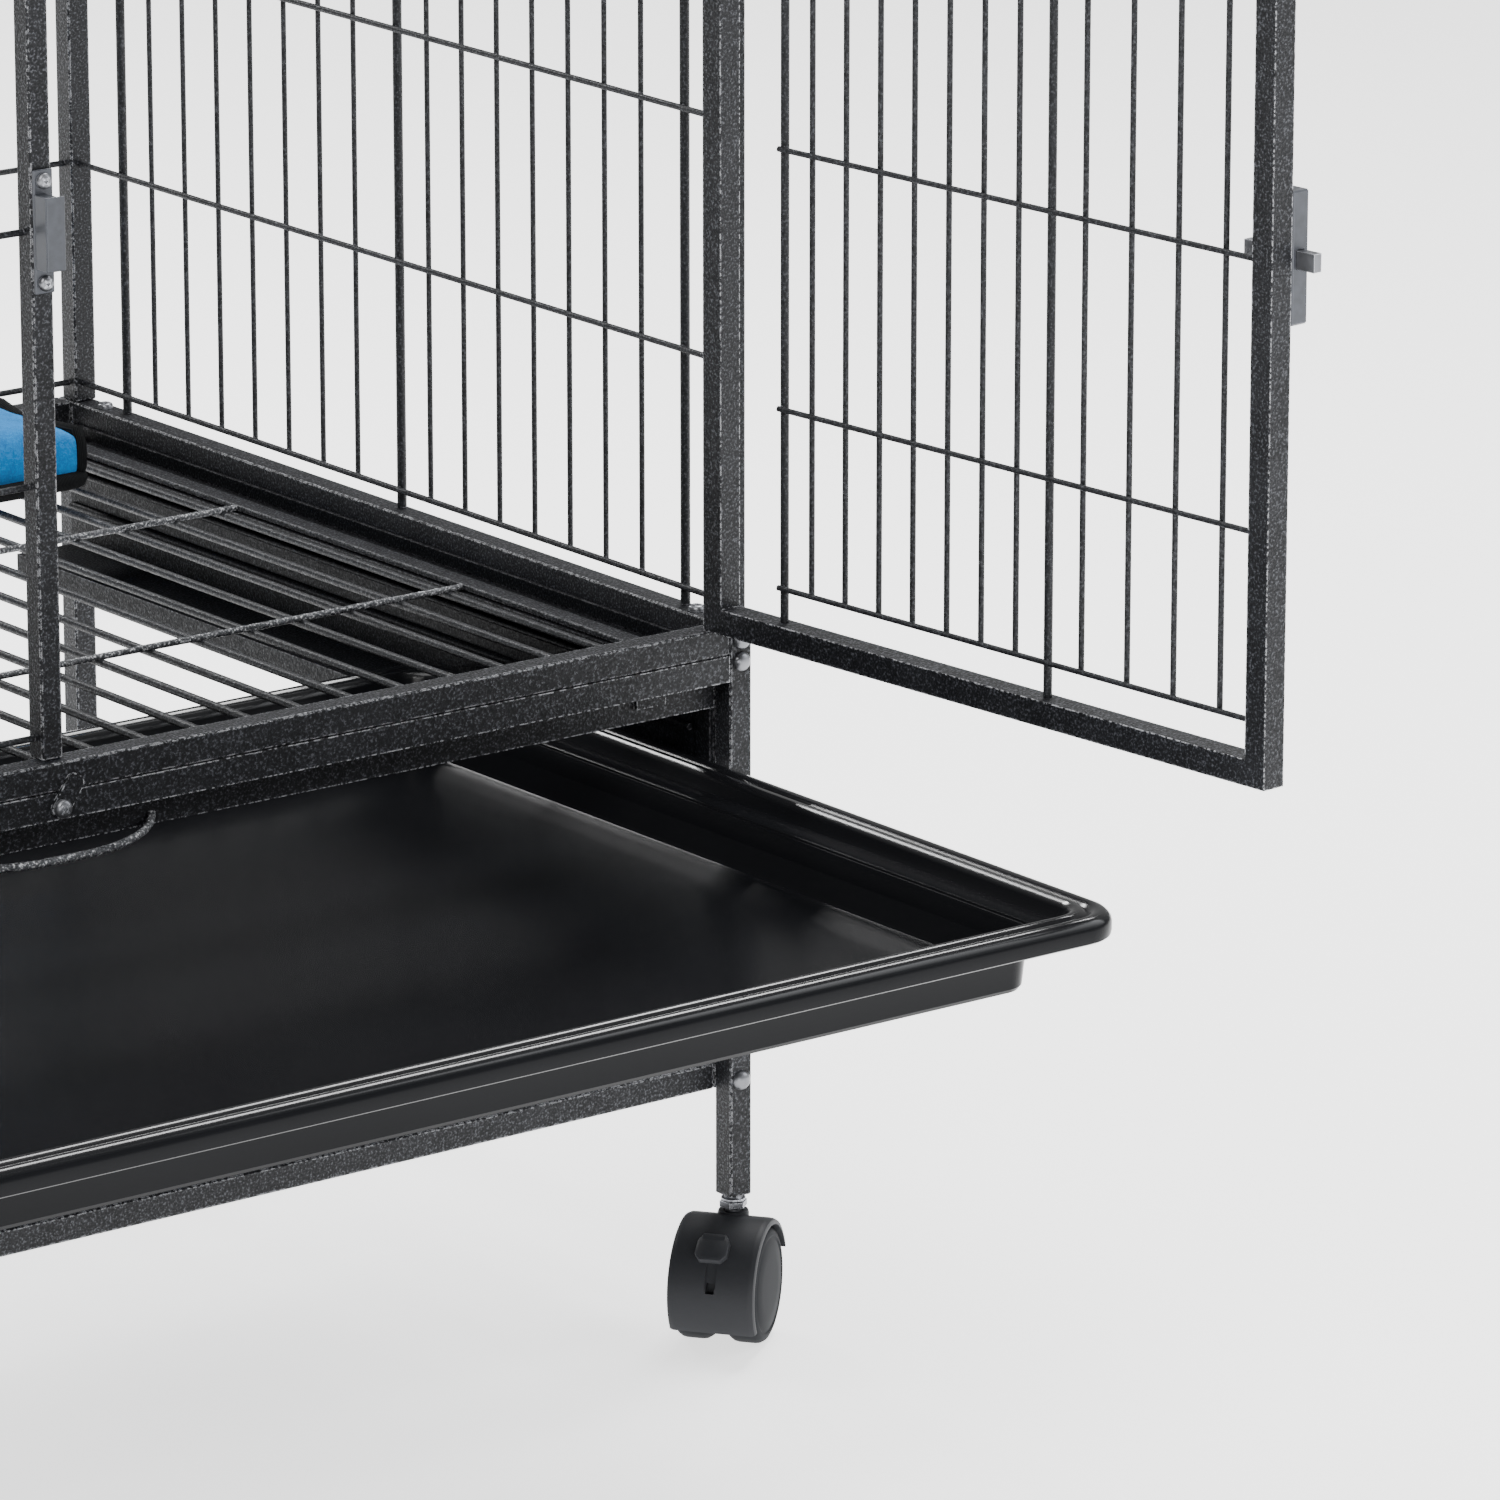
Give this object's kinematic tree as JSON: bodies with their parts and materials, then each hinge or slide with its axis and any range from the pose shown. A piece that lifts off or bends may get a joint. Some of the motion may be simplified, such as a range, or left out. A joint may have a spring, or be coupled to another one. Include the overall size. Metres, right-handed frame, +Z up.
{
  "type": "bird cage on stand",
  "caption": "Tall wire cage on a rolling stand, with a full-height hinged door, slide-out wire grate, slide-out plastic tray and braked casters.",
  "frame": {"origin": "bottom centre of the bounding box, on the floor, with the door open and the tray pulled out", "axes": "+X to the cage's right seen from the front, +Y towards its back, +Z up"},
  "size_m": [0.7454, 0.8546, 1.35],
  "materials": {
    "powder_coat": "charcoal hammertone powder coat, speckled, with brighter worn edges",
    "latch_grey": "grey painted steel, satin",
    "zinc": "bright zinc plate",
    "tray_plastic": "glossy black moulded plastic",
    "caster_plastic": "dark grey moulded plastic, satin",
    "wheel_plastic": "dark grey hard plastic, satin",
    "pad_fabric": "blue plush with black binding"
  },
  "bodies": {
    "frame": {"leg_front_right": "powder_coat", "post_front_right": "powder_coat", "leg_front_left": "powder_coat", "post_front_left": "powder_coat", "leg_back_right": "powder_coat", "post_back_right": "powder_coat", "leg_back_left": "powder_coat", "post_back_left": "powder_coat", "centre_post": "powder_coat", "base_rail_front": "powder_coat", "base_rail_back": "powder_coat", "base_rail_left": "powder_coat", "base_rail_right": "powder_coat", "stand_rail_front": "powder_coat", "stand_rail_back": "powder_coat", "stand_rail_left": "powder_coat", "stand_rail_right": "powder_coat", "side_guide_left": "powder_coat", "side_guide_right": "powder_coat", "shelf": "powder_coat", "wall_left": "powder_coat", "wall_right": "powder_coat", "wall_back": "powder_coat", "wall_front": "powder_coat", "top_frame": "powder_coat", "top_mesh": "powder_coat", "latch_keeper": "latch_grey", "pad": "pad_fabric", "stem_front_right": "zinc", "stem_front_left": "zinc", "stem_back_right": "zinc", "stem_back_left": "zinc"},
    "grate_drawer": {"grate": "powder_coat", "grate_front": "powder_coat", "grate_handle": "powder_coat"},
    "lock_tab": {"lock_tab": "latch_grey"},
    "door": {"door_frame": "powder_coat", "door_mesh": "powder_coat", "latch_body": "latch_grey"},
    "latch_bolt": {"latch_bolt": "zinc"},
    "tray": {"tray": "tray_plastic"},
    "caster_front_right": {"caster_front_right": "caster_plastic"},
    "wheel_front_right_a": {"wheel_front_right_a": "wheel_plastic"},
    "wheel_front_right_b": {"wheel_front_right_b": "wheel_plastic"},
    "brake_front_right": {"brake_front_right": "caster_plastic"},
    "caster_front_left": {"caster_front_left": "caster_plastic"},
    "wheel_front_left_a": {"wheel_front_left_a": "wheel_plastic"},
    "wheel_front_left_b": {"wheel_front_left_b": "wheel_plastic"},
    "brake_front_left": {"brake_front_left": "caster_plastic"},
    "caster_back_right": {"caster_back_right": "caster_plastic"},
    "wheel_back_right_a": {"wheel_back_right_a": "wheel_plastic"},
    "wheel_back_right_b": {"wheel_back_right_b": "wheel_plastic"},
    "brake_back_right": {"brake_back_right": "caster_plastic"},
    "caster_back_left": {"caster_back_left": "caster_plastic"},
    "wheel_back_left_a": {"wheel_back_left_a": "wheel_plastic"},
    "wheel_back_left_b": {"wheel_back_left_b": "wheel_plastic"},
    "brake_back_left": {"brake_back_left": "caster_plastic"}
  },
  "joints": [
    {"name": "door_hinge", "type": "hinge", "parent": "frame", "child": "door", "pos_m": [0.33806, -0.09535, 0.65], "axis": [0, 0, 1], "range_deg": [-95.1, 75]},
    {"name": "latch_slide", "type": "slide", "parent": "door", "child": "latch_bolt", "axis": [-0.0889, 0.996, 0], "range_m": [0, 0.014]},
    {"name": "grate_slide", "type": "slide", "parent": "frame", "child": "grate_drawer", "axis": [0, -1, 0], "range_m": [0, 0.4]},
    {"name": "lock_tab_turn", "type": "hinge", "parent": "grate_drawer", "child": "lock_tab", "pos_m": [0.00686, -0.09665, 0.292], "axis": [0, 1, 0], "range_deg": [-35, 100]},
    {"name": "tray_slide", "type": "slide", "parent": "frame", "child": "tray", "axis": [0, -1, 0], "range_m": [-0.271, 0.15]},
    {"name": "swivel_front_right", "type": "hinge", "parent": "frame", "child": "caster_front_right", "pos_m": [0.34436, -0.09085, 0.05], "axis": [0, 0, 1], "continuous": true},
    {"name": "roll_front_right_a", "type": "hinge", "parent": "caster_front_right", "child": "wheel_front_right_a", "pos_m": [0.33641, -0.09691, 0.025], "axis": [0.606, -0.7955, 0], "continuous": true},
    {"name": "roll_front_right_b", "type": "hinge", "parent": "caster_front_right", "child": "wheel_front_right_b", "pos_m": [0.33641, -0.09691, 0.025], "axis": [0.606, -0.7955, 0], "continuous": true},
    {"name": "brake_press_front_right", "type": "hinge", "parent": "caster_front_right", "child": "brake_front_right", "pos_m": [0.32113, -0.10855, 0.04959], "axis": [0.606, -0.7955, 0], "range_deg": [0, 10]},
    {"name": "swivel_front_left", "type": "hinge", "parent": "frame", "child": "caster_front_left", "pos_m": [-0.33064, -0.09085, 0.05], "axis": [0, 0, 1], "continuous": true},
    {"name": "roll_front_left_a", "type": "hinge", "parent": "caster_front_left", "child": "wheel_front_left_a", "pos_m": [-0.34025, -0.09361, 0.025], "axis": [0.2756, -0.9613, 0], "continuous": true},
    {"name": "roll_front_left_b", "type": "hinge", "parent": "caster_front_left", "child": "wheel_front_left_b", "pos_m": [-0.34025, -0.09361, 0.025], "axis": [0.2756, -0.9613, 0], "continuous": true},
    {"name": "brake_press_front_left", "type": "hinge", "parent": "caster_front_left", "child": "brake_front_left", "pos_m": [-0.35871, -0.0989, 0.04959], "axis": [0.2756, -0.9613, 0], "range_deg": [0, 10]},
    {"name": "swivel_back_right", "type": "hinge", "parent": "frame", "child": "caster_back_right", "pos_m": [0.34436, 0.40315, 0.05], "axis": [0, 0, 1], "continuous": true},
    {"name": "roll_back_right_a", "type": "hinge", "parent": "caster_back_right", "child": "wheel_back_right_a", "pos_m": [0.33907, 0.39467, 0.025], "axis": [0.848, -0.5299, 0], "continuous": true},
    {"name": "roll_back_right_b", "type": "hinge", "parent": "caster_back_right", "child": "wheel_back_right_b", "pos_m": [0.33907, 0.39467, 0.025], "axis": [0.848, -0.5299, 0], "continuous": true},
    {"name": "brake_press_back_right", "type": "hinge", "parent": "caster_back_right", "child": "brake_back_right", "pos_m": [0.32889, 0.37838, 0.04959], "axis": [0.848, -0.5299, 0], "range_deg": [0, 10]},
    {"name": "swivel_back_left", "type": "hinge", "parent": "frame", "child": "caster_back_left", "pos_m": [-0.33064, 0.40315, 0.05], "axis": [0, 0, 1], "continuous": true},
    {"name": "roll_back_left_a", "type": "hinge", "parent": "caster_back_left", "child": "wheel_back_left_a", "pos_m": [-0.34054, 0.40454, 0.025], "axis": [-0.1392, -0.9903, 0], "continuous": true},
    {"name": "roll_back_left_b", "type": "hinge", "parent": "caster_back_left", "child": "wheel_back_left_b", "pos_m": [-0.34054, 0.40454, 0.025], "axis": [-0.1392, -0.9903, 0], "continuous": true},
    {"name": "brake_press_back_left", "type": "hinge", "parent": "caster_back_left", "child": "brake_back_left", "pos_m": [-0.35956, 0.40721, 0.04959], "axis": [-0.1392, -0.9903, 0], "range_deg": [0, 10]}
  ]
}
